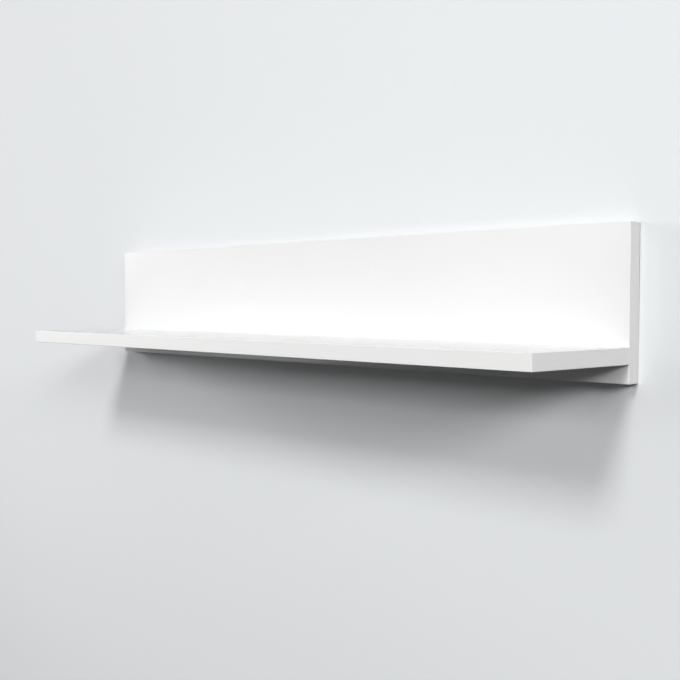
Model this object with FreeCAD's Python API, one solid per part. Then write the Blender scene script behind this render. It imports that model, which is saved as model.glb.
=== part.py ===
"""Floating wall shelf: a back panel flat to the wall and a shelf board screwed to its front.

Units are millimetres. +X runs along the shelf to its right end, +Y into the wall and +Z up.
The origin lies on the panel's back face, midway between the two keyholes that hang the shelf.
Every piece is a solid of its own, written to parts/NODE.step.
"""

import FreeCAD
import Part
import math
import os

# --- the boards ---------------------------------------------------------------------------
shelf_length = 1200.0
panel_height = 206.0
panel_thickness = 22.0
shelf_depth = 202.0          # from the panel's front face to the shelf's front edge
shelf_thickness = 22.0
shelf_rise = 25.0            # from the panel's lower edge up to the shelf's underside

# --- the edge bands -----------------------------------------------------------------------
band_thickness = 1.0
band_radius = 0.8            # rounding of the arrises after trimming

# --- screws that join the boards ----------------------------------------------------------
joint_end_inset = 80.0       # from an end of the shelf to the first screw
joint_screw_count = 5
joint_screw_length = 60.0
joint_screw_head = 10.0
joint_screw_head_height = 3.0
joint_screw_thread = 7.0
joint_screw_core = 5.0
joint_screw_pitch = 3.0
joint_screw_plain = 24.0     # head and plain shank, before the thread starts
joint_screw_sink = 0.5       # head below the panel's back face
joint_screw_hex = 4.0        # across the flats of the socket
joint_screw_hex_depth = 2.6

# --- dowels that keep the boards in line --------------------------------------------------
dowel_diameter = 8.0
dowel_length = 35.0
dowel_in_panel = 12.0
dowel_chamfer = 1.2
dowel_flutes = 16
dowel_flute_depth = 0.35
dowel_end_gap = 0.5          # room for glue at each end of the hole

# --- keyhole hangers let into the panel's back --------------------------------------------
hanger_end_inset = 100.0     # from an end of the panel to the keyhole
hanger_drop = 50.0           # from the panel's upper edge down to the keyhole
plate_width = 26.0
plate_height = 66.0
plate_thickness = 2.0
keyhole_entry = 10.0         # the round hole that a wall screw's head goes in through
keyhole_neck = 5.0           # the slot above it, for the screw's shank
keyhole_rise = 11.0          # from the round hole's centre up to the slot's upper centre
head_pocket_width = 14.0
head_pocket_depth = 8.0      # behind the plate

# --- screws that hold the hangers ---------------------------------------------------------
plate_screw_spacing = 48.0
plate_screw_length = 16.0
plate_screw_head = 7.0
plate_screw_head_height = 1.7
plate_screw_thread = 3.5
plate_screw_core = 2.2
plate_screw_pitch = 1.6
plate_screw_plain = 4.0
plate_screw_sink = 0.1
plate_screw_cross = 3.8      # across the arms of the recess
plate_screw_cross_width = 1.0
plate_screw_cross_depth = 1.3

# --- clearances ---------------------------------------------------------------------------
screw_clearance = 0.05       # a thread or head in its own hole
shank_clearance = 0.1        # a shank that passes through
dowel_clearance = 0.05
plate_clearance = 0.25       # a hanger in its recess
rim_height = 0.2             # the cylindrical rim round a countersunk head
through = 1.0                # how far a cutting tool runs past a face

# --- places that follow from the sizes above ----------------------------------------------
half_length = shelf_length / 2
back = 0.0
front = back - panel_thickness
shelf_front = front - shelf_depth
panel_top = hanger_drop
panel_bottom = panel_top - panel_height
shelf_bottom = panel_bottom + shelf_rise
shelf_top = shelf_bottom + shelf_thickness
joint_height = (shelf_bottom + shelf_top) / 2
core_half_length = half_length - band_thickness
hanger_places = [-(half_length - hanger_end_inset), half_length - hanger_end_inset]
plate_screw_heights = [-plate_screw_spacing / 2, plate_screw_spacing / 2]


def evenly(first, last, count):
    """Places from first to last with equal steps."""
    return [first + (last - first) * i / (count - 1) for i in range(count)]


joint_screw_places = evenly(
    -(half_length - joint_end_inset), half_length - joint_end_inset, joint_screw_count
)
# one dowel halfway between each pair of screws
dowel_places = [(a + b) / 2 for a, b in zip(joint_screw_places, joint_screw_places[1:])]


def at(x, y, z):
    return FreeCAD.Vector(x, y, z)


def block(x_range, y_range, z_range):
    """A box between three pairs of coordinates."""
    low = at(min(x_range), min(y_range), min(z_range))
    high = at(max(x_range), max(y_range), max(z_range))
    size = high - low
    return Part.makeBox(size.x, size.y, size.z, low)


def drum(diameter, y_range, x=0.0, z=0.0):
    """A cylinder along Y between two depths."""
    depth = max(y_range) - min(y_range)
    return Part.makeCylinder(diameter / 2, depth, at(x, min(y_range), z), at(0, 1, 0))


def stadium(width, height, y_range, x=0.0, z=0.0):
    """An upright bar with round ends, centred on x and z, between two depths."""
    reach = (height - width) / 2
    bar = block((x - width / 2, x + width / 2), y_range, (z - reach, z + reach))
    lower = drum(width, y_range, x, z - reach)
    upper = drum(width, y_range, x, z + reach)
    return bar.fuse([lower, upper]).removeSplitter()


def turned(outline):
    """A solid turned about the Y axis from (radius, y) points that start and end on the axis."""
    points = [at(radius, y, 0) for radius, y in outline]
    face = Part.Face(Part.makePolygon(points + points[:1]))
    return face.revolve(at(0, 0, 0), at(0, 1, 0), 360)


def move(shape, x=0.0, y=0.0, z=0.0):
    copy = shape.copy()
    copy.translate(at(x, y, z))
    return copy


def screw(length, head, head_height, thread, core, pitch, plain, grow=0.0):
    """A countersunk screw that points to -Y with the top of its head at y = 0.

    The thread is drawn as rings. grow makes the same shape larger all round, for its hole.
    """
    tip_length = thread
    outline = [(0, 0), (head / 2 + grow, 0), (head / 2 + grow, -rim_height - grow)]
    outline += [(thread / 2 + grow, -head_height - grow), (thread / 2 + grow, -plain)]
    outline += [(core / 2 + grow, -plain - pitch / 4)]
    rings = int((length - plain - tip_length) / pitch)
    for ring in range(rings):
        start = -plain - pitch * (ring + 0.25)
        outline += [
            (core / 2 + grow, start - pitch * 0.3),
            (thread / 2 + grow, start - pitch * 0.6),
            (thread / 2 + grow, start - pitch * 0.7),
            (core / 2 + grow, start - pitch),
        ]
    outline += [(core / 2 + grow, -length + core / 2), (grow, -length - grow)]
    if grow:
        outline += [(0, -length - grow)]
    return turned(outline)


def joint_screw(grow=0.0):
    """One screw of the board joint, in place at x = 0."""
    shape = screw(
        joint_screw_length, joint_screw_head, joint_screw_head_height, joint_screw_thread,
        joint_screw_core, joint_screw_pitch, joint_screw_plain, grow,
    )
    return move(shape, 0, back - joint_screw_sink, joint_height)


def plate_screw(grow=0.0):
    """One hanger screw, in place at x = 0 and z = 0."""
    shape = screw(
        plate_screw_length, plate_screw_head, plate_screw_head_height, plate_screw_thread,
        plate_screw_core, plate_screw_pitch, plate_screw_plain, grow,
    )
    return move(shape, 0, back - plate_screw_sink, 0)


def hex_socket():
    """The hexagonal recess in a joint screw's head."""
    radius = joint_screw_hex / math.sqrt(3)
    corners = [math.radians(60 * i) for i in range(7)]
    top = back - joint_screw_sink
    points = [at(radius * math.cos(c), top, radius * math.sin(c)) for c in corners]
    prism = Part.Face(Part.makePolygon(points)).extrude(at(0, -joint_screw_hex_depth, 0))
    return move(prism, 0, 0, joint_height)


def cross_recess():
    """The cross recess in a hanger screw's head."""
    top = back - plate_screw_sink
    reach = (-plate_screw_cross / 2, plate_screw_cross / 2)
    width = (-plate_screw_cross_width / 2, plate_screw_cross_width / 2)
    depth = (top - plate_screw_cross_depth, top)
    return block(reach, depth, width).fuse(block(width, depth, reach))


def dowel(x):
    """A fluted wooden dowel with chamfered ends."""
    inner_end = front + dowel_in_panel
    outer_end = inner_end - dowel_length
    radius = dowel_diameter / 2
    outline = [
        (0, inner_end), (radius - dowel_chamfer, inner_end), (radius, inner_end - dowel_chamfer),
        (radius, outer_end + dowel_chamfer), (radius - dowel_chamfer, outer_end), (0, outer_end),
    ]
    step = math.pi / dowel_flutes
    star = []
    for i in range(2 * dowel_flutes + 1):
        reach = radius - (dowel_flute_depth if i % 2 else 0)
        star.append(at(reach * math.cos(i * step), outer_end, reach * math.sin(i * step)))
    fluted = Part.Face(Part.makePolygon(star)).extrude(at(0, dowel_length, 0))
    return move(fluted.common(turned(outline)), x, 0, joint_height)


def dowel_hole(x):
    """The pair of blind holes that a dowel fills, as one tool."""
    inner_end = front + dowel_in_panel
    depths = (inner_end - dowel_length - dowel_end_gap, inner_end + dowel_end_gap)
    return drum(dowel_diameter + 2 * dowel_clearance, depths, x, joint_height)


def joint_screw_hole(x):
    """The countersunk hole through the panel for a joint screw's head and shank."""
    mouth = joint_screw_head + 2 * screw_clearance
    seat = back - joint_screw_sink
    sink = drum(mouth, (seat - rim_height, back + through))
    shank_diameter = joint_screw_thread + 2 * shank_clearance
    shank = drum(shank_diameter, (front - through, back))
    cone_bottom = seat - joint_screw_head_height - screw_clearance
    cone = turned([
        (0, seat - rim_height), (mouth / 2, seat - rim_height),
        (joint_screw_thread / 2 + screw_clearance, cone_bottom), (0, cone_bottom),
    ])
    return move(sink.fuse([cone, shank]), x, 0, joint_height)


def hanger_recess(x):
    """The seat of a hanger plate, with the deeper pocket for the wall screw's head."""
    floor = back - plate_thickness
    spread = 2 * plate_clearance
    seat = stadium(
        plate_width + spread, plate_height + spread, (floor, back + through), x
    )
    pocket = stadium(
        head_pocket_width, keyhole_rise + head_pocket_width,
        (floor - head_pocket_depth, back), x, keyhole_rise / 2,
    )
    return seat.fuse(pocket)


def back_panel():
    """The board against the wall, drilled and recessed, without its edge bands."""
    board = block(
        (-core_half_length, core_half_length), (front, back),
        (panel_bottom + band_thickness, panel_top - band_thickness),
    )
    tools = [joint_screw_hole(x) for x in joint_screw_places]
    tools += [dowel_hole(x) for x in dowel_places]
    tools += [hanger_recess(x) for x in hanger_places]
    bite = plate_screw(screw_clearance)
    tools += [move(bite, x, 0, z) for x in hanger_places for z in plate_screw_heights]
    return board.cut(tools)


def shelf_board():
    """The board that things stand on, without its edge bands."""
    board = block(
        (-core_half_length, core_half_length), (shelf_front + band_thickness, front),
        (shelf_bottom, shelf_top),
    )
    bite = joint_screw(screw_clearance)
    tools = [move(bite, x) for x in joint_screw_places]
    tools += [dowel_hole(x) for x in dowel_places]
    return board.cut(tools)


def edge_band(x_range, y_range, z_range, exposed):
    """A strip glued to a board's edge, with its arrises rounded.

    exposed lists the (axis, value) planes of the faces that aren't glued or butted.
    """
    def lies_on(edge, axis, value):
        return all(abs(getattr(v.Point, axis) - value) < 1e-6 for v in edge.Vertexes)

    strip = block(x_range, y_range, z_range)
    arrises = [e for e in strip.Edges if sum(lies_on(e, *plane) for plane in exposed) == 2]
    radius = min(band_radius, 0.9 * band_thickness)
    return strip.makeFillet(radius, arrises)


def panel_long_band(side):
    """The band along the panel's upper (side 1) or lower (side -1) edge, over its whole length."""
    outer = panel_top if side > 0 else panel_bottom
    return edge_band(
        (-half_length, half_length), (front, back), (outer - side * band_thickness, outer),
        [("z", outer), ("x", -half_length), ("x", half_length), ("y", front), ("y", back)],
    )


def panel_end_band(side):
    """The band on the panel's right (side 1) or left (side -1) end, between the long bands."""
    outer = side * half_length
    return edge_band(
        (outer - side * band_thickness, outer), (front, back),
        (panel_bottom + band_thickness, panel_top - band_thickness),
        [("x", outer), ("y", front), ("y", back)],
    )


def shelf_front_band():
    """The band along the shelf's front edge, over its whole length."""
    return edge_band(
        (-half_length, half_length), (shelf_front, shelf_front + band_thickness),
        (shelf_bottom, shelf_top),
        [
            ("y", shelf_front), ("x", -half_length), ("x", half_length),
            ("z", shelf_bottom), ("z", shelf_top),
        ],
    )


def shelf_end_band(side):
    """The band on the shelf's right (side 1) or left (side -1) end, behind the front band."""
    outer = side * half_length
    return edge_band(
        (outer - side * band_thickness, outer), (shelf_front + band_thickness, front),
        (shelf_bottom, shelf_top),
        [("x", outer), ("z", shelf_bottom), ("z", shelf_top)],
    )


def hanger_plate(x):
    """A flush steel keyhole plate."""
    depths = (back - plate_thickness, back)
    past = (depths[0] - through, depths[1] + through)
    plate = stadium(plate_width, plate_height, depths, x)
    entry = drum(keyhole_entry, past, x)
    neck = block((x - keyhole_neck / 2, x + keyhole_neck / 2), past, (0, keyhole_rise))
    neck_end = drum(keyhole_neck, past, x, keyhole_rise)
    plate = plate.cut([entry, neck, neck_end])
    mouth = plate_screw_head + 2 * screw_clearance
    seat = back - plate_screw_sink
    shank = drum(plate_screw_thread + 2 * shank_clearance, past)
    rim = drum(mouth, (seat - rim_height, back + through))
    narrow = plate_screw_thread / 2 + screw_clearance
    cone_bottom = seat - plate_screw_head_height - screw_clearance
    cone = turned([
        (0, seat - rim_height), (mouth / 2, seat - rim_height), (narrow, cone_bottom),
        (0, cone_bottom),
    ])
    hole = shank.fuse([rim, cone])
    return plate.cut([move(hole, x, 0, z) for z in plate_screw_heights])


def shelf_screws():
    """The screws from behind the panel into the shelf's rear edge."""
    one = joint_screw().cut(hex_socket())
    return Part.makeCompound([move(one, x) for x in joint_screw_places])


def hanger_screws():
    """The short countersunk screws of both hangers."""
    one = plate_screw().cut(cross_recess())
    places = [(x, z) for x in hanger_places for z in plate_screw_heights]
    return Part.makeCompound([move(one, x, 0, z) for x, z in places])


def shelf_dowels():
    """The dowels between panel and shelf."""
    return Part.makeCompound([dowel(x) for x in dowel_places])


nodes = {
    "back_panel": back_panel(),
    "panel_top_edge_band": panel_long_band(1),
    "panel_bottom_edge_band": panel_long_band(-1),
    "panel_left_edge_band": panel_end_band(-1),
    "panel_right_edge_band": panel_end_band(1),
    "shelf_board": shelf_board(),
    "shelf_front_edge_band": shelf_front_band(),
    "shelf_left_edge_band": shelf_end_band(-1),
    "shelf_right_edge_band": shelf_end_band(1),
    "shelf_dowels": shelf_dowels(),
    "shelf_screws": shelf_screws(),
    "left_hanger_plate": hanger_plate(hanger_places[0]),
    "right_hanger_plate": hanger_plate(hanger_places[1]),
    "hanger_screws": hanger_screws(),
}

os.makedirs("parts", exist_ok=True)
for name, shape in nodes.items():
    shape.exportStep(f"parts/{name}.step")
    print(name, len(shape.Solids), "solid(s),", round(shape.Volume / 1000, 2), "cm3,", shape.isValid())
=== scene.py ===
import bmesh
import bpy
from math import cos, radians, sin
from mathutils import Matrix, Vector


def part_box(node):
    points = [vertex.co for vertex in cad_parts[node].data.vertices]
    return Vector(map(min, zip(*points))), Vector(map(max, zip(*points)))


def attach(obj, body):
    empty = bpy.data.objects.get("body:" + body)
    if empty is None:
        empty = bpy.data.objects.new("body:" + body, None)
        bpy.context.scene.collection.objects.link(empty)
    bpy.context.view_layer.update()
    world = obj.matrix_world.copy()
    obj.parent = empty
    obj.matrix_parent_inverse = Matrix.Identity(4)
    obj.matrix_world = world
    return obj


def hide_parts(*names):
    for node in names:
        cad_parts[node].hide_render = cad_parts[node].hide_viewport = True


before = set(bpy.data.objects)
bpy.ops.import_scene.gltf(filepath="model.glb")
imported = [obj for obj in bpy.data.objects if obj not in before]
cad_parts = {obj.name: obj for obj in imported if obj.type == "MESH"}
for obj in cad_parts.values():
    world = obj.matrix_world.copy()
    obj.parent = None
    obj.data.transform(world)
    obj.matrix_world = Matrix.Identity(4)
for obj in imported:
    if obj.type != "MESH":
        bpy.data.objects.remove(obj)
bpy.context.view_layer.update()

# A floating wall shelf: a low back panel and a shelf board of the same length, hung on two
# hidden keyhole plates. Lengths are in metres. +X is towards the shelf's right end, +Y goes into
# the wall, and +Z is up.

bpy.ops.object.select_all(action="DESELECT")

# --- The view ---------------------------------------------------------------------------------
# A long normal lens stands beyond the shelf's right end, just above the shelf board, and looks
# along the shelf and a little down, so that the panel runs away to the left.
view_place = (1.3090, -1.1757, -0.0506)
view_turn = 47.157            # degrees from straight at the wall, towards the left end
view_drop = 2.151             # degrees below level
lens_length = 54.976          # mm, for a picture 36 mm wide

bpy.context.scene.view_settings.view_transform = "Standard"
bpy.ops.object.camera_add(
    location=view_place, rotation=(radians(90 - view_drop), 0, radians(view_turn))
)
camera = bpy.context.object
camera.name = "view"
camera.data.lens = lens_length
bpy.context.scene.camera = camera

# --- The back panel ---------------------------------------------------------------------------
# A board of three-layer particleboard, pressed between two white melamine facings with a fine
# pearl texture. It is sawn to size, then drilled and recessed at the back, where the raw chips
# show in every hole. Its shape comes whole from the frame.
facing_thickness = 0.00025
facing_white = (0.879, 0.886, 0.879, 1)
facing_shade = (0.863, 0.870, 0.863, 1)
facing_roughness = (0.20, 0.26)
drift_scale = 7.0             # patches to the metre, as every scale is
gloss_scale = 60.0
pearl_scale = 950.0
pearl_height = 0.000012
chip_tones = [
    (0.12, (0.23, 0.140, 0.075, 1)),
    (0.36, (0.42, 0.280, 0.160, 1)),
    (0.60, (0.55, 0.400, 0.250, 1)),
    (0.86, (0.66, 0.520, 0.360, 1)),
]
# painted shade in the gaps between chips: each chip's rim is darkened towards this colour where it
# dips into the gap, and chip_rim_tone is the share of the chip's own tone left at its edge
chip_gap_shade = (0.20, 0.12, 0.065, 1)
chip_rim_width = 0.06         # of a chip, from its edge to where it has its full tone
chip_rim_tone = 0.60          # share of the chip's tone that is left at its edge
chip_scale_middle = 330.0
chip_scale_outer = 900.0
chip_flatness = 4.5           # length of a chip over its thickness
chip_raggedness = 0.0022      # metres by which the ends of the chips wander
chip_wander_scale = 650.0
chip_step = 0.0003            # height of a chip above the gap round it
chip_fibre_scale = 1900.0
chip_fibre_share = 0.35       # of the fibres in the tone, and the rest is the chip's own
chip_roughness = 0.88


def add_node(tree, kind, inputs=None, **settings):
    """One shader node with its settings made and its inputs filled in or linked."""
    node = tree.nodes.new("ShaderNode" + kind)
    for name, value in settings.items():
        setattr(node, name, value)
    for name, value in (inputs or {}).items():
        if isinstance(value, bpy.types.NodeSocket):
            tree.links.new(value, node.inputs[name])
        else:
            node.inputs[name].default_value = value
    return node


def worked_out(tree, operation, *values):
    """The result of one sum on numbers or sockets."""
    return add_node(tree, "Math", dict(enumerate(values)), operation=operation).outputs[0]


def shared_out(tree, share, first, second):
    """A share of the first number, and the rest of the second."""
    rest = worked_out(tree, "MULTIPLY", second, 1 - share)
    return worked_out(tree, "MULTIPLY_ADD", first, share, rest)


def colour_between(tree, factor, first, second):
    """A colour that goes from the first to the second as the factor goes from 0 to 1."""
    mix = add_node(tree, "Mix", {0: factor, 6: first, 7: second}, data_type="RGBA")
    return mix.outputs[2]


def number_between(tree, factor, first, second):
    """A number that goes from the first to the second as the factor goes from 0 to 1."""
    mix = add_node(tree, "Mix", {0: factor, 2: first, 3: second}, data_type="FLOAT")
    return mix.outputs[0]


def colour_of_tones(tree, factor, tones):
    """A colour ramp through (position, colour) pairs."""
    ramp = add_node(tree, "ValToRGB", {"Fac": factor})
    stops = ramp.color_ramp.elements
    stops[0].position, stops[0].color = tones[0]
    stops[1].position, stops[1].color = tones[-1]
    for position, colour in tones[1:-1]:
        stops.new(position).color = colour
    return ramp.outputs["Color"]


def grain(tree, place, scale, stretch=(1, 1, 1), detail=2.0):
    """Soft noise from 0 to 1, with its cells stretched along an axis where stretch is below 1."""
    laid = add_node(tree, "Mapping", {"Vector": place, "Scale": stretch})
    noise = add_node(
        tree, "TexNoise", {"Vector": laid.outputs[0], "Scale": scale, "Detail": detail}
    )
    return noise.outputs["Fac"]


def new_finish(name):
    """A material with its tree, its shader and the place that its patterns are measured from."""
    finish = bpy.data.materials.new(name)
    finish.use_nodes = True
    tree = finish.node_tree
    place = add_node(tree, "TexCoord").outputs["Object"]
    return finish, tree, tree.nodes["Principled BSDF"], place


def dress(tree, shader, colour, roughness, height):
    """Gives the shader its colour and roughness, and its relief from a height in metres."""
    bump = add_node(tree, "Bump", {"Height": height, "Distance": 1.0, "Strength": 1.0})
    tree.links.new(colour, shader.inputs["Base Color"])
    tree.links.new(roughness, shader.inputs["Roughness"])
    tree.links.new(bump.outputs[0], shader.inputs["Normal"])


def raw_chips(tree, place, across, outwards):
    """The core's colour, with painted shade darkening each chip towards its rim, and how full a
    chip is at each place: 1 on it and less at its rim.

    outwards goes from 0 in the middle of the board to 1 at its faces.
    """
    scale = number_between(tree, outwards, chip_scale_middle, chip_scale_outer)
    squash = [chip_flatness if axis == across else 1 for axis in "XYZ"]
    laid = add_node(tree, "Mapping", {"Vector": place, "Scale": squash}).outputs[0]
    wander = add_node(
        tree, "TexNoise", {"Vector": place, "Scale": chip_wander_scale, "Detail": 3.0}
    ).outputs["Color"]
    laid = add_node(
        tree, "VectorMath", {0: wander, 1: (chip_raggedness,) * 3, 2: laid},
        operation="MULTIPLY_ADD",
    ).outputs[0]
    chips = add_node(tree, "TexVoronoi", {"Vector": laid, "Scale": scale}).outputs["Color"]
    edges = add_node(
        tree, "TexVoronoi", {"Vector": laid, "Scale": scale}, feature="DISTANCE_TO_EDGE"
    ).outputs["Distance"]
    own_tone = add_node(tree, "SeparateColor", {"Color": chips}).outputs["Red"]
    fibres = grain(tree, laid, chip_fibre_scale, detail=4.0)
    tone = shared_out(tree, chip_fibre_share, fibres, own_tone)
    full = add_node(
        tree, "MapRange",
        {"Value": edges, "From Max": chip_rim_width, "To Min": chip_rim_tone, "To Max": 1.0},
    ).outputs["Result"]
    wood = colour_of_tones(tree, tone, chip_tones)
    # painted shade: the chip's colour darkens towards the gap colour at its rim, where the bump
    # sinks it
    return colour_between(tree, full, chip_gap_shade, wood), full


def faced_board(name, across, low, high):
    """White facings on both faces of a board that is low to high thick along the axis across."""
    finish, tree, shader, place = new_finish(name)
    half = (high - low) / 2
    depth = add_node(tree, "SeparateXYZ", {"Vector": place}).outputs[across]
    off_middle = worked_out(tree, "SUBTRACT", depth, (low + high) / 2)
    off_middle = worked_out(tree, "ABSOLUTE", off_middle)
    in_facing = worked_out(tree, "GREATER_THAN", off_middle, half - facing_thickness)

    # facings: a slow drift of tone, and pearl bumps about a millimetre wide
    drift = grain(tree, place, drift_scale, detail=3.0)
    white = colour_between(tree, drift, facing_white, facing_shade)
    pearl = grain(tree, place, pearl_scale, detail=1.0)
    gloss = grain(tree, place, gloss_scale)

    # core: ragged chips, about 3 mm long in the middle and 1 mm under the facings, with painted
    # shade at their rims
    outwards = worked_out(tree, "DIVIDE", off_middle, half)
    wood, full = raw_chips(tree, place, across, outwards)

    satin = number_between(tree, gloss, *facing_roughness)
    dress(
        tree, shader,
        colour=colour_between(tree, in_facing, wood, white),
        roughness=number_between(tree, in_facing, chip_roughness, satin),
        height=number_between(
            tree, in_facing, worked_out(tree, "MULTIPLY", full, chip_step),
            worked_out(tree, "MULTIPLY", pearl, pearl_height),
        ),
    )
    return finish


def finish_node(name, finish):
    """Gives a piece of the frame its finish."""
    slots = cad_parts[name].data.materials
    slots.clear()
    slots.append(finish)


panel_low, panel_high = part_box("back_panel")
finish_node("back_panel", faced_board("white_panel_board", "Y", panel_low.y, panel_high.y))

# --- The shelf board --------------------------------------------------------------------------
# The same faced particleboard, laid flat and screwed on from behind the panel. Its facings are
# its top and underside, so the layers of its core lie level.
shelf_low, shelf_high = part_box("shelf_board")
finish_node("shelf_board", faced_board("white_shelf_board", "Z", shelf_low.z, shelf_high.z))

# --- The edge bands ---------------------------------------------------------------------------
# White plastic strips, 1 mm thick, glued round both boards and trimmed flush. The trimming
# rounds their outer arrises and scrapes a hairline along the glue.
band_rounding = 0.0008
band_rounding_steps = 4
band_hairline = 0.00012
band_white = (0.918, 0.922, 0.912, 1)
band_shade = (0.906, 0.910, 0.900, 1)
band_roughness = (0.43, 0.46)
band_cloud_scale = 12.0
band_line_scale = 900.0
band_line_stretch = 0.02      # of the scale, along the strip
band_line_height = 0.0000015
band_crisp = 30               # degrees from which an edge of the strip isn't shaded smooth
square_on = 0.999             # least part of a flat face's normal that lies along its axis
# each band with the way it runs and the sides of it that stay open once it is glued on
bands = {
    "panel_top_edge_band": ("X", ["-X", "+X", "-Y", "+Y", "+Z"]),
    "panel_bottom_edge_band": ("X", ["-X", "+X", "-Y", "+Y", "-Z"]),
    "panel_left_edge_band": ("Z", ["-X", "-Y", "+Y"]),
    "panel_right_edge_band": ("Z", ["+X", "-Y", "+Y"]),
    "shelf_front_edge_band": ("X", ["-X", "+X", "-Y", "-Z", "+Z"]),
    "shelf_left_edge_band": ("Y", ["-X", "-Z", "+Z"]),
    "shelf_right_edge_band": ("Y", ["+X", "-Z", "+Z"]),
}


def band_finish(name, stretch):
    """Satin plastic with faint lines along the strip, which is drawn through a die."""
    finish, tree, shader, place = new_finish(name)
    cloud = grain(tree, place, band_cloud_scale)
    lines = grain(tree, place, band_line_scale, stretch)
    dress(
        tree, shader,
        colour=colour_between(tree, cloud, band_white, band_shade),
        roughness=number_between(tree, lines, *band_roughness),
        height=worked_out(tree, "MULTIPLY", lines, band_line_height),
    )
    return finish


def settle(name):
    """Names the new piece and takes its place, turn and size into its mesh."""
    bpy.ops.object.transform_apply(location=True, rotation=True, scale=True)
    bpy.context.object.name = name
    return bpy.context.object


def choose(kind, wanted):
    """In edit mode, selects only those of the piece's verts, edges or faces that are wanted."""
    bpy.ops.mesh.select_mode(type={"verts": "VERT", "edges": "EDGE", "faces": "FACE"}[kind])
    bpy.ops.mesh.select_all(action="DESELECT")
    mesh = bmesh.from_edit_mesh(bpy.context.object.data)
    for item in getattr(mesh, kind):
        item.select_set(bool(wanted(item)))
    mesh.select_flush_mode()
    bmesh.update_edit_mesh(bpy.context.object.data)


def take_up(piece):
    """Makes the piece the only one that the next operators act on."""
    bpy.ops.object.select_all(action="DESELECT")
    piece.select_set(True)
    bpy.context.view_layer.objects.active = piece


def applied(piece, kind, **settings):
    """Adds one modifier and applies it at once."""
    take_up(piece)
    modifier = piece.modifiers.new(kind.lower(), kind)
    for name, value in settings.items():
        setattr(modifier, name, value)
    bpy.ops.object.modifier_apply(modifier=modifier.name)


def smooth(piece, angle):
    """Rounds shade smoothly, and flat faces and arrises sharper than the angle stay crisp."""
    take_up(piece)
    bpy.ops.object.shade_smooth_by_angle(angle=radians(angle))
    applied(piece, "WEIGHTED_NORMAL", keep_sharp=True)


def side_of(face):
    """The side that a flat face looks to, such as +X, or nothing for a slanted one."""
    for axis, value in zip("XYZ", face.normal):
        if abs(value) > square_on:
            return "+" + axis if value > 0 else "-" + axis


def edge_band(name, node, open_sides):
    """A strip in its node's place, rounded where it is open and with a hairline where it isn't."""
    low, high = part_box(node)
    bpy.ops.mesh.primitive_cube_add(size=1, location=(low + high) / 2, scale=high - low)
    strip = settle(name)
    bpy.ops.object.mode_set(mode="EDIT")
    choose("edges", lambda e: all(side_of(face) in open_sides for face in e.link_faces))
    bpy.ops.mesh.bevel(offset=band_rounding, segments=band_rounding_steps, affect="EDGES")
    closed = {sign + axis for sign in "+-" for axis in "XYZ"} - set(open_sides)
    choose("edges", lambda e: sum(side_of(face) in closed for face in e.link_faces) == 1)
    bpy.ops.mesh.bevel(offset=band_hairline, segments=1, affect="EDGES")
    bpy.ops.object.mode_set(mode="OBJECT")
    smooth(strip, band_crisp)
    return strip


band_finishes = {
    "X": band_finish("white_band_long", (band_line_stretch, 1, 1)),
    "Y": band_finish("white_band_deep", (1, band_line_stretch, 1)),
    "Z": band_finish("white_band_upright", (1, 1, band_line_stretch)),
}
for node, (run, open_sides) in bands.items():
    strip = edge_band(node.replace("_edge", ""), node, open_sides)
    strip.data.materials.append(band_finishes[run])
    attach(strip, "root")
    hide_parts(node)

# --- The dowels -------------------------------------------------------------------------------
# Four fluted pins of turned beech, pressed into panel and shelf with glue to keep the boards in
# line. Their shape comes whole from the frame, and their grain runs along the pin.
beech_tones = [
    (0.25, (0.47, 0.290, 0.165, 1)),
    (0.50, (0.60, 0.400, 0.245, 1)),
    (0.75, (0.69, 0.490, 0.320, 1)),
]
beech_roughness = (0.62, 0.75)
beech_ring_scale = 260.0
beech_ring_stretch = (1, 0.06, 1)
beech_ring_share = 0.6        # of the rings in the tone, and the rest is the fibres'
beech_fibre_scale = 1400.0
beech_fibre_stretch = (1, 0.035, 1)
beech_fibre_height = 0.00004

beech, tree, shader, place = new_finish("beech_dowel")
fibres = grain(tree, place, beech_fibre_scale, beech_fibre_stretch, detail=3.0)
rings = grain(tree, place, beech_ring_scale, beech_ring_stretch)
tone = shared_out(tree, beech_ring_share, rings, fibres)
dress(
    tree, shader,
    colour=colour_of_tones(tree, tone, beech_tones),
    roughness=number_between(tree, fibres, *beech_roughness),
    height=worked_out(tree, "MULTIPLY", fibres, beech_fibre_height),
)
finish_node("shelf_dowels", beech)

# --- The joint screws -------------------------------------------------------------------------
# Five one-piece screws of zinc-plated steel, driven from behind through the panel into the
# shelf's rear edge. The head is countersunk, with a hexagonal socket pressed into it.
joint_head_height = 0.003
joint_thread = 0.007
joint_core = 0.005
joint_pitch = 0.003
joint_plain = 0.024           # head and plain shank, before the thread starts
joint_hex = 0.004             # across the flats of the socket
joint_hex_depth = 0.0026
joint_hex_dish = 0.0003       # by which the socket's floor dips to its middle
joint_hex_middle = 0.15       # width of that middle over the socket's
joint_rounding = 0.00012      # of the head's rim and of the socket's mouth
joint_count = 5
hex_half_side = radians(30)   # from the middle of a hexagon's side to its corner
screw_sides = 48
screw_rim = 0.0002            # the short cylinder round the head
tip_shoulder = 0.72           # of the core's width, half way down the point
tip_end = 0.04                # of that shoulder's width, at the end of the point
thread_steps = 32             # round one turn
thread_root = 0.45            # width of the thread where it leaves the core, in pitches
thread_crest = 0.10
thread_sink = 0.2             # of the thread's height, by which the ridge goes down into the core
thread_lead = 1.9             # degrees that it starts off the core's corners
thread_fade = 1.0             # turns over which the thread grows out of the core at each end
thread_least = 0.15           # of the ridge's height, where it has faded
thread_point = 0.12           # of the ridge's width, at the end of the point
same_place = 0.000001         # points this near to each other are one
cut_corner = 30               # degrees from which the edge of a cut is sharp
flat_seam = 1                 # degrees up to which a seam on a flat face is cleared off
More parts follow.
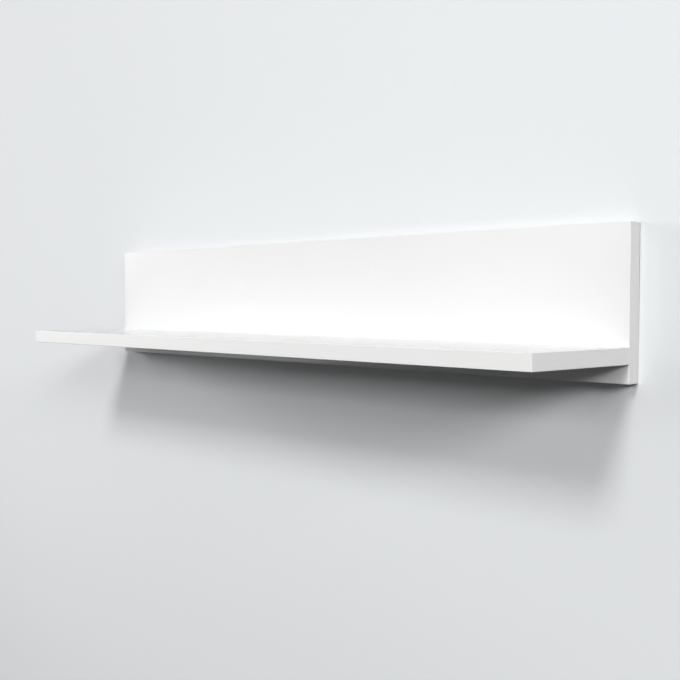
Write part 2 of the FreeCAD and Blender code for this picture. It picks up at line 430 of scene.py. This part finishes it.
metal_crisp = 35              # degrees from which an edge of the steel isn't shaded smooth
steel_roughness = (0.24, 0.46)
steel_mottle_scale = 420.0
steel_line_scale = 2600.0
steel_line_share = 0.4        # of the lines in the roughness, and the rest is the mottle's
steel_line_height = 0.000004
screw_pale = (0.70, 0.72, 0.74, 1)
screw_dark = (0.56, 0.58, 0.61, 1)
screw_line_stretch = (1, 0.3, 1)


def steel_finish(name, stretch, pale, dark):
    """Bright zinc: a cool grey metal, mottled, with fine lines along the way it was worked."""
    finish, tree, shader, place = new_finish(name)
    shader.inputs["Metallic"].default_value = 1.0
    mottle = grain(tree, place, steel_mottle_scale, detail=3.0)
    lines = grain(tree, place, steel_line_scale, stretch, detail=1.0)
    wear = shared_out(tree, steel_line_share, lines, mottle)
    dress(
        tree, shader,
        colour=colour_between(tree, mottle, pale, dark),
        roughness=number_between(tree, wear, *steel_roughness),
        height=worked_out(tree, "MULTIPLY", lines, steel_line_height),
    )
    return finish


def looks_to_room(face):
    """A flat face that looks straight away from the wall."""
    return side_of(face) == "-Y"


def draw_out(centre, depth, ratio=1.0):
    """In edit mode, extrudes the chosen face away from the wall and resizes it about the axis."""
    bpy.ops.mesh.extrude_region_move(TRANSFORM_OT_translate={"value": (0, -depth, 0)})
    bpy.ops.transform.resize(value=(ratio, 1, ratio), center_override=centre)


def weld():
    """In edit mode, joins the points of the piece that lie in one place."""
    bpy.ops.mesh.select_all(action="SELECT")
    bpy.ops.mesh.remove_doubles(threshold=same_place)


def cut_away(piece, tool, operation="DIFFERENCE"):
    """Takes the tool out of the piece, or joins it on, and throws the tool away."""
    applied(piece, "BOOLEAN", object=tool, operation=operation, solver="EXACT")
    bpy.data.objects.remove(tool)
    bpy.ops.object.mode_set(mode="EDIT")
    weld()
    bpy.ops.object.mode_set(mode="OBJECT")


def sharp_at(*depths):
    """Picks the sharp edges that lie at one of some depths along Y."""
    return lambda e: e.calc_face_angle(0) > radians(cut_corner) and any(
        all(abs(v.co.y - depth) < same_place for v in e.verts) for depth in depths
    )


def break_edges(width, wanted):
    """Clears the seams off the flat faces of the piece just cut, and rounds its wanted edges."""
    bpy.ops.object.mode_set(mode="EDIT")
    bpy.ops.mesh.select_all(action="SELECT")
    bpy.ops.mesh.dissolve_limited(angle_limit=radians(flat_seam))
    choose("edges", wanted)
    bpy.ops.mesh.bevel(offset=width, segments=2, affect="EDGES", loop_slide=False)
    bpy.ops.object.mode_set(mode="OBJECT")


def thread_ridge(top, length, thread, core, pitch, plain):
    """One winding ridge about the Y axis, flat on its crest and faded out at both ends."""
    inner = core / 2 - thread_sink * (thread - core)
    outer = thread / 2
    start = top - plain
    end = top - length
    lead = radians(thread_lead)
    turns = (length - plain - thread / 2) / pitch
    bpy.ops.mesh.primitive_plane_add(size=1, location=(0, start, 0))
    ridge = settle("thread")
    bpy.ops.object.mode_set(mode="EDIT")
    bpy.ops.mesh.delete(type="ONLY_FACE")
    mesh = bmesh.from_edit_mesh(ridge.data)
    for vert in mesh.verts:
        at_crest = vert.co.x > 0
        width = pitch * (thread_crest if at_crest else thread_root)
        side = 1 if vert.co.y > start else -1
        radius = outer if at_crest else inner
        vert.co = Vector((radius * cos(lead), start + side * width / 2, radius * sin(lead)))
    bmesh.update_edit_mesh(ridge.data)
    bpy.ops.object.mode_set(mode="OBJECT")
    applied(
        ridge, "SCREW", axis="Y", angle=radians(360) * turns, screw_offset=-pitch * turns,
        steps=round(thread_steps * turns), render_steps=round(thread_steps * turns),
        use_merge_vertices=True,
    )
    bpy.ops.object.mode_set(mode="EDIT")
    mesh = bmesh.from_edit_mesh(ridge.data)
    bmesh.ops.holes_fill(mesh, edges=[e for e in mesh.edges if e.is_boundary])
    # the ridge sinks back into the core over its first and last turn, and narrows with the point
    for vert in mesh.verts:
        radius = Vector((vert.co.x, vert.co.z)).length
        along = (start - vert.co.y) / pitch
        grown = min(1.0, max(0.0, along / thread_fade), max(0.0, (turns - along) / thread_fade))
        shown = inner + (radius - inner) * max(grown, thread_least)
        narrowed = min(1.0, max(thread_point, (vert.co.y - end) / thread))
        vert.co.x *= shown * narrowed / radius
        vert.co.z *= shown * narrowed / radius
    bmesh.ops.recalc_face_normals(mesh, faces=mesh.faces)
    bmesh.update_edit_mesh(ridge.data)
    bpy.ops.object.mode_set(mode="OBJECT")
    return ridge


def screw_blank(name, top, length, head, head_height, thread, core, pitch, plain):
    """A screw on the Y axis without its thread, with its head at top and its tip to the room."""
    bpy.ops.mesh.primitive_circle_add(
        vertices=screw_sides, radius=head / 2, fill_type="NGON", location=(0, top, 0),
        rotation=(radians(-90), 0, 0),
    )
    screw = settle(name)
    bpy.ops.object.mode_set(mode="EDIT")
    bpy.ops.mesh.select_all(action="SELECT")
    axis = (0, top, 0)
    narrowing = pitch / 4         # length over which the shank goes down to the core
    half_point = thread / 2
    draw_out(axis, screw_rim)
    draw_out(axis, head_height - screw_rim, thread / head)
    draw_out(axis, plain - head_height)
    draw_out(axis, narrowing, core / thread)
    draw_out(axis, length - plain - narrowing - 2 * half_point)
    draw_out(axis, half_point, tip_shoulder)
    draw_out(axis, half_point, tip_end)
    bpy.ops.mesh.select_all(action="SELECT")
    bpy.ops.mesh.normals_make_consistent(inside=False)
    bpy.ops.object.mode_set(mode="OBJECT")
    return screw


def drive_in(pattern, node, places):
    """Puts a copy of the pattern, with its own mesh, at each (x, z) place of the node's screws."""
    for number, (x, z) in enumerate(places, 1):
        screw = pattern.copy()
        screw.data = pattern.data.copy()
        screw.name = screw.data.name = f"{pattern.name}_{number}"
        bpy.context.scene.collection.objects.link(screw)
        screw.data.transform(Matrix.Translation((x, 0, z)))
        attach(screw, "root")
        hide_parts(node)
    bpy.data.objects.remove(pattern)


joint_low, joint_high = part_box("shelf_screws")
joint_head = joint_high.z - joint_low.z
joint_run = (joint_high.y, joint_high.y - joint_low.y)
joint_sizes = (joint_thread, joint_core, joint_pitch, joint_plain)
joint_screw = screw_blank("joint_screw", *joint_run, joint_head, joint_head_height, *joint_sizes)
bpy.ops.mesh.primitive_cylinder_add(
    vertices=6, radius=joint_hex / 2 / cos(hex_half_side), depth=2 * joint_hex_depth,
    location=(0, joint_high.y, 0), rotation=(radians(90), hex_half_side, 0),
)
socket = settle("socket")
bpy.ops.object.mode_set(mode="EDIT")
choose("faces", looks_to_room)
draw_out((0, joint_high.y, 0), joint_hex_dish, joint_hex_middle)
bpy.ops.object.mode_set(mode="OBJECT")
cut_away(joint_screw, socket)
break_edges(joint_rounding, sharp_at(joint_high.y))
cut_away(joint_screw, thread_ridge(*joint_run, *joint_sizes), "UNION")
smooth(joint_screw, metal_crisp)
screw_steel = steel_finish("zinc_screw", screw_line_stretch, screw_pale, screw_dark)
joint_screw.data.materials.append(screw_steel)
first = joint_low.x + joint_head / 2
step = (joint_high.x - joint_low.x - joint_head) / (joint_count - 1)
level = (joint_low.z + joint_high.z) / 2
drive_in(
    joint_screw, "shelf_screws", [(first + number * step, level) for number in range(joint_count)]
)

# --- The hanger plates ------------------------------------------------------------------------
# Two flush keyhole plates, stamped from zinc-plated strip and let into the panel's back. The
# round hole goes over the wall screw's head, and the neck above it drops onto the shank.
plate_rounding = 0.00018
plate_end_steps = 32          # round a quarter turn of the plate's ends
plate_least = 0.001           # an edge longer than this along Y runs through the plate
plate_pale = (0.72, 0.74, 0.76, 1)
plate_dark = (0.60, 0.62, 0.65, 1)
plate_line_stretch = (1, 1, 0.03)
keyhole_sides = 48            # round the entry, so that the neck's sides meet its corners
keyhole_entry = 0.010
keyhole_neck = 0.005
keyhole_rise = 0.011
neck_end_steps = 16
countersink_sides = 40
countersink_mouth = 0.0071    # at the face of the screw's head
countersink_shank = 0.0037
countersink_depth = 0.00175
tool_past = 0.0005            # by which a tool stands out of what it cuts
short_head = 0.007            # of the short screws that hold the plates

hanger_low, hanger_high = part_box("hanger_screws")
hanger_heights = (hanger_low.z + short_head / 2, hanger_high.z - short_head / 2)


def runs_through(edge):
    """An edge that runs from a plate's one face to the other."""
    return abs(edge.verts[0].co.y - edge.verts[1].co.y) > plate_least


def keyhole_entry_tool(x, low, high):
    """A rod for the round hole."""
    bpy.ops.mesh.primitive_cylinder_add(
        vertices=keyhole_sides, radius=keyhole_entry / 2, depth=high - low + 2 * tool_past,
        location=(x, (low + high) / 2, 0), rotation=(radians(90), 0, 0),
    )
    return settle("entry")


def keyhole_neck_tool(x, low, high):
    """A block from the entry's middle upwards, with a round end."""
    bpy.ops.mesh.primitive_cube_add(
        size=1, location=(x, (low + high) / 2, keyhole_rise / 2),
        scale=(keyhole_neck, high - low + 2 * tool_past, keyhole_rise),
    )
    neck = settle("neck")
    bpy.ops.object.mode_set(mode="EDIT")
    choose("edges", lambda e: runs_through(e) and e.verts[0].co.z > keyhole_rise / 2)
    bpy.ops.transform.translate(value=(0, 0, keyhole_neck / 2))
    bpy.ops.mesh.bevel(offset=keyhole_neck / 2, segments=neck_end_steps, affect="EDGES")
    weld()
    bpy.ops.object.mode_set(mode="OBJECT")
    return neck


def countersink_tool(x, z, low, top):
    """The cone of a screw's head from just past its face at top, and its shank's hole below."""
    flare = (countersink_mouth - countersink_shank) / countersink_depth
    mouth = countersink_mouth + flare * tool_past
    bpy.ops.mesh.primitive_circle_add(
        vertices=countersink_sides, radius=mouth / 2, fill_type="NGON",
        location=(x, top + tool_past, z), rotation=(radians(-90), 0, 0),
    )
    tool = settle("countersink")
    bpy.ops.object.mode_set(mode="EDIT")
    bpy.ops.mesh.select_all(action="SELECT")
    draw_out((x, top, z), countersink_depth + tool_past, countersink_shank / mouth)
    draw_out((x, top, z), top - countersink_depth - low + tool_past)
    bpy.ops.mesh.select_all(action="SELECT")
    bpy.ops.mesh.normals_make_consistent(inside=False)
    bpy.ops.object.mode_set(mode="OBJECT")
    return tool


def keyhole_plate(name, node):
    """A stamped plate with round ends, its keyhole and two countersunk holes."""
    low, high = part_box(node)
    x = (low.x + high.x) / 2
    bpy.ops.mesh.primitive_cube_add(size=1, location=(low + high) / 2, scale=high - low)
    plate = settle(name)
    bpy.ops.object.mode_set(mode="EDIT")
    choose("edges", runs_through)
    bpy.ops.mesh.bevel(offset=(high.x - low.x) / 2, segments=plate_end_steps, affect="EDGES")
    weld()
    bpy.ops.object.mode_set(mode="OBJECT")

    cut_away(plate, keyhole_entry_tool(x, low.y, high.y))
    cut_away(plate, keyhole_neck_tool(x, low.y, high.y))
    for z in hanger_heights:
        cut_away(plate, countersink_tool(x, z, low.y, hanger_high.y))
    break_edges(plate_rounding, sharp_at(low.y, high.y))
    smooth(plate, metal_crisp)
    return plate


plate_steel = steel_finish("zinc_plate", plate_line_stretch, plate_pale, plate_dark)
for node in ("left_hanger_plate", "right_hanger_plate"):
    plate = keyhole_plate(node.replace("hanger", "keyhole"), node)
    plate.data.materials.append(plate_steel)
    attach(plate, "root")
    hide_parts(node)

# --- The plate screws -------------------------------------------------------------------------
# Four short countersunk wood screws of the same steel, two to a plate, with a cross recess.
# They are driven straight into the panel's chips and end well inside it.
short_head_height = 0.0017
short_thread = 0.0035
short_core = 0.0022
short_pitch = 0.0016
short_plain = 0.004
short_rounding = 0.00007
cross_reach = 0.0038
cross_width = 0.0010
cross_depth = 0.0013
cross_floor = 0.5             # width and length of the recess's floor over its mouth's

short_run = (hanger_high.y, hanger_high.y - hanger_low.y)
short_sizes = (short_thread, short_core, short_pitch, short_plain)
plate_screw = screw_blank("plate_screw", *short_run, short_head, short_head_height, *short_sizes)
for across, along in ((cross_reach, cross_width), (cross_width, cross_reach)):
    bpy.ops.mesh.primitive_cube_add(
        size=1, location=(0, hanger_high.y, 0), scale=(across, 2 * cross_depth, along)
    )
    arm = settle("cross")
    bpy.ops.object.mode_set(mode="EDIT")
    choose("faces", looks_to_room)
    bpy.ops.transform.resize(
        value=(cross_floor, 1, cross_floor), center_override=(0, hanger_high.y, 0)
    )
    bpy.ops.object.mode_set(mode="OBJECT")
    cut_away(plate_screw, arm)
break_edges(short_rounding, sharp_at(hanger_high.y))
cut_away(plate_screw, thread_ridge(*short_run, *short_sizes), "UNION")
smooth(plate_screw, metal_crisp)
plate_screw.data.materials.append(screw_steel)
hanger_sides = (hanger_low.x + short_head / 2, hanger_high.x - short_head / 2)
drive_in(plate_screw, "hanger_screws", [(x, z) for x in hanger_sides for z in hanger_heights])

# --- The wall and the floor -------------------------------------------------------------------
# A pale painted wall touches the panel along its lower edge and stands 2 mm off at its upper
# edge. Seen from behind, it lets the shelf's back show. It is open where the panel covers it, so
# that the fittings mirror the room, and the floor below it turns even and pale farther off.
wall_gap = 0.002
wall_reach = (-4.5, 3.5)
wall_height = (-1.3, 2.6)
wall_cover = 0.004            # by which the panel covers the edge of the opening
wall_white = (0.84, 0.86, 0.875, 1)
wall_dim = (0.33, 0.33, 0.33, 1)
floor_reach = 30
floor_white = (0.80, 0.80, 0.79, 1)
floor_dim = (0.03, 0.03, 0.03, 1)
floor_pale = (0.84, 0.85, 0.86, 1)
floor_fade = (1.4, 4.0)       # distance from the shelf over which the lit floor turns pale
paint_cloud_scale = 1.5
paint_cloud = 1.01            # brightness of the paint's pale patches over the rest
paint_roughness = 0.9
paint_specular = 0.2
before_bounce = 0.5           # between no bounce off a matt surface and the first one

panel_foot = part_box("panel_bottom_edge_band")[0].z
panel_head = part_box("panel_top_edge_band")[1].z
panel_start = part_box("panel_left_edge_band")[0].x
panel_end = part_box("panel_right_edge_band")[1].x


def stage_sheet(name, corners, faces, finish):
    """A flat sheet that isn't part of the shelf."""
    mesh = bpy.data.meshes.new(name)
    mesh.from_pydata(corners, [], faces)
    sheet = bpy.data.objects.new(name, mesh)
    bpy.context.scene.collection.objects.link(sheet)
    sheet.data.materials.append(finish)


def painted(name, colour):
    """Matt paint, hardly uneven."""
    finish, tree, shader, place = new_finish(name)
    cloud = grain(tree, place, paint_cloud_scale)
    paler = [min(1.0, paint_cloud * c) for c in colour[:3]] + [1]
    tree.links.new(colour_between(tree, cloud, colour, paler), shader.inputs["Base Color"])
    shader.inputs["Roughness"].default_value = paint_roughness
    shader.inputs["Specular IOR Level"].default_value = paint_specular
    return finish


def plainly_seen(tree, path, where=1.0):
    """1 for what the camera sees, and for what is mirrored where the factor where is 1."""
    mirrored = worked_out(tree, "MULTIPLY", path.outputs["Is Glossy Ray"], where)
    return worked_out(tree, "MAXIMUM", path.outputs["Is Camera Ray"], mirrored)


def past_wall(tree, place):
    """1 where a place or a direction is on the wall's far side."""
    depth = add_node(tree, "SeparateXYZ", {"Vector": place}).outputs["Y"]
    return worked_out(tree, "GREATER_THAN", depth, 0.0)


def dim_for_bounces(tree, seen, dim):
    """The paint shows as it is where it is seen, but throws less light on, for deep shadows."""
    matt = tree.nodes["Principled BSDF"].inputs["Base Color"]
    tree.links.new(colour_between(tree, seen, dim, matt.links[0].from_socket), matt)


def paint_gives_way(tree, factor, other):
    """Puts another shader in the paint's place, as far as the factor says."""
    paint = tree.nodes["Principled BSDF"].outputs[0]
    either = add_node(tree, "MixShader", {0: factor, 1: paint, 2: other}).outputs[0]
    tree.links.new(either, tree.nodes["Material Output"].inputs["Surface"])


def wall_corners(left, right, bottom, top):
    """The corners of an upright oblong on the leaning wall."""
    rise = panel_head - panel_foot
    at_bottom = wall_gap * (bottom - panel_foot) / rise
    at_top = wall_gap * (top - panel_foot) / rise
    return [
        (left, at_bottom, bottom), (right, at_bottom, bottom),
        (right, at_top, top), (left, at_top, top),
    ]


wall_paint = painted("wall_paint", wall_white)
tree = wall_paint.node_tree
path = add_node(tree, "LightPath")
dim_for_bounces(tree, plainly_seen(tree, path), wall_dim)
from_behind = add_node(tree, "NewGeometry").outputs["Backfacing"]
seen_through = worked_out(tree, "MULTIPLY", path.outputs["Is Camera Ray"], from_behind)
direct = worked_out(tree, "LESS_THAN", path.outputs["Diffuse Depth"], before_bounce)
lit_through = worked_out(tree, "MULTIPLY", path.outputs["Is Shadow Ray"], direct)
clear = add_node(tree, "BsdfTransparent").outputs[0]
paint_gives_way(tree, worked_out(tree, "MAXIMUM", seen_through, lit_through), clear)
outline = wall_corners(*wall_reach, *wall_height)
opening = wall_corners(
    panel_start + wall_cover, panel_end - wall_cover,
    panel_foot + wall_cover, panel_head - wall_cover,
)
stage_sheet(
    "wall", outline + opening, [(0, 1, 5, 4), (1, 2, 6, 5), (2, 3, 7, 6), (3, 0, 4, 7)],
    wall_paint,
)

floor_paint = painted("floor_paint", floor_white)
floor_paint.cycles.emission_sampling = "NONE"
tree = floor_paint.node_tree
spot = add_node(tree, "NewGeometry").outputs["Position"]
seen = plainly_seen(tree, add_node(tree, "LightPath"), past_wall(tree, spot))
dim_for_bounces(tree, seen, floor_dim)
away = add_node(tree, "VectorMath", {0: spot}, operation="LENGTH").outputs["Value"]
far = add_node(
    tree, "MapRange", {"Value": away, "From Min": floor_fade[0], "From Max": floor_fade[1]}
).outputs["Result"]
even = add_node(tree, "Emission", {"Color": floor_pale}).outputs[0]
paint_gives_way(tree, worked_out(tree, "MULTIPLY", seen, far), even)
floor_height = wall_height[0]
floor_corners = [
    (-floor_reach, -floor_reach, floor_height), (floor_reach, -floor_reach, floor_height),
    (floor_reach, floor_reach, floor_height), (-floor_reach, floor_reach, floor_height),
]
stage_sheet("floor", floor_corners, [(0, 1, 2, 3)], floor_paint)

# --- The light --------------------------------------------------------------------------------
# A high soft lamp lights the shelf from in front, two fill it from the sides, and three more
# thin its shadow. A seventh shines through the wall onto the shelf's back. The room shows
# white round it all, but gives next to no light.
lamp_target = Vector((0, -0.1, -0.05))
lamps = {
    # turn from straight at the wall and rise above level (degrees), distance, width, height, watts
    "key": (17.5, 38.0, 6.6, 1.4, 1.4, 186),
    "right": (62.5, 17.5, 6.0, 3.6, 1.2, 170),
    "left": (-74.0, 10.0, 7.0, 2.0, 1.9, 170),
    "front_right": (14.0, 15.0, 12.0, 2.4, 2.4, 250),
    "front_left": (-28.0, 13.0, 4.2, 0.85, 0.85, 12.5),
    "near_left": (-57.0, -9.5, 1.7, 0.5, 0.5, 1.5),
}
back_place = (0.0, 2.2, 0.85)
back_slope = 22               # degrees that it looks down
back_size = (1.0, 0.5)
back_watts = 60
room_white = (0.9, 0.92, 0.94, 1)
room_dim = 0.01
room_shown = 1.0


def area_lamp(name, place, turned, width, height, watts):
    """A soft oblong lamp that isn't seen itself."""
    bpy.ops.object.light_add(type="AREA", location=place, rotation=turned)
    lamp = bpy.context.object
    lamp.name = "lamp_" + name
    lamp.data.shape = "RECTANGLE"
    lamp.data.size = width
    lamp.data.size_y = height
    lamp.data.energy = watts
    lamp.visible_camera = False


for name, (turn, rise, distance, *size_and_watts) in lamps.items():
    flat = cos(radians(rise))
    towards = Vector((sin(radians(turn)) * flat, -cos(radians(turn)) * flat, sin(radians(rise))))
    place = lamp_target + distance * towards
    area_lamp(name, place, towards.to_track_quat("Z", "Y").to_euler(), *size_and_watts)
area_lamp("back", back_place, (radians(back_slope - 90), 0, 0), *back_size, back_watts)

room = bpy.data.worlds.new("studio")
bpy.context.scene.world = room
room.use_nodes = True
tree = room.node_tree
background = tree.nodes["Background"]
background.inputs["Color"].default_value = room_white
heading = add_node(tree, "TexCoord").outputs["Generated"]
seen = plainly_seen(tree, add_node(tree, "LightPath"), past_wall(tree, heading))
tree.links.new(number_between(tree, seen, room_dim, room_shown), background.inputs["Strength"])
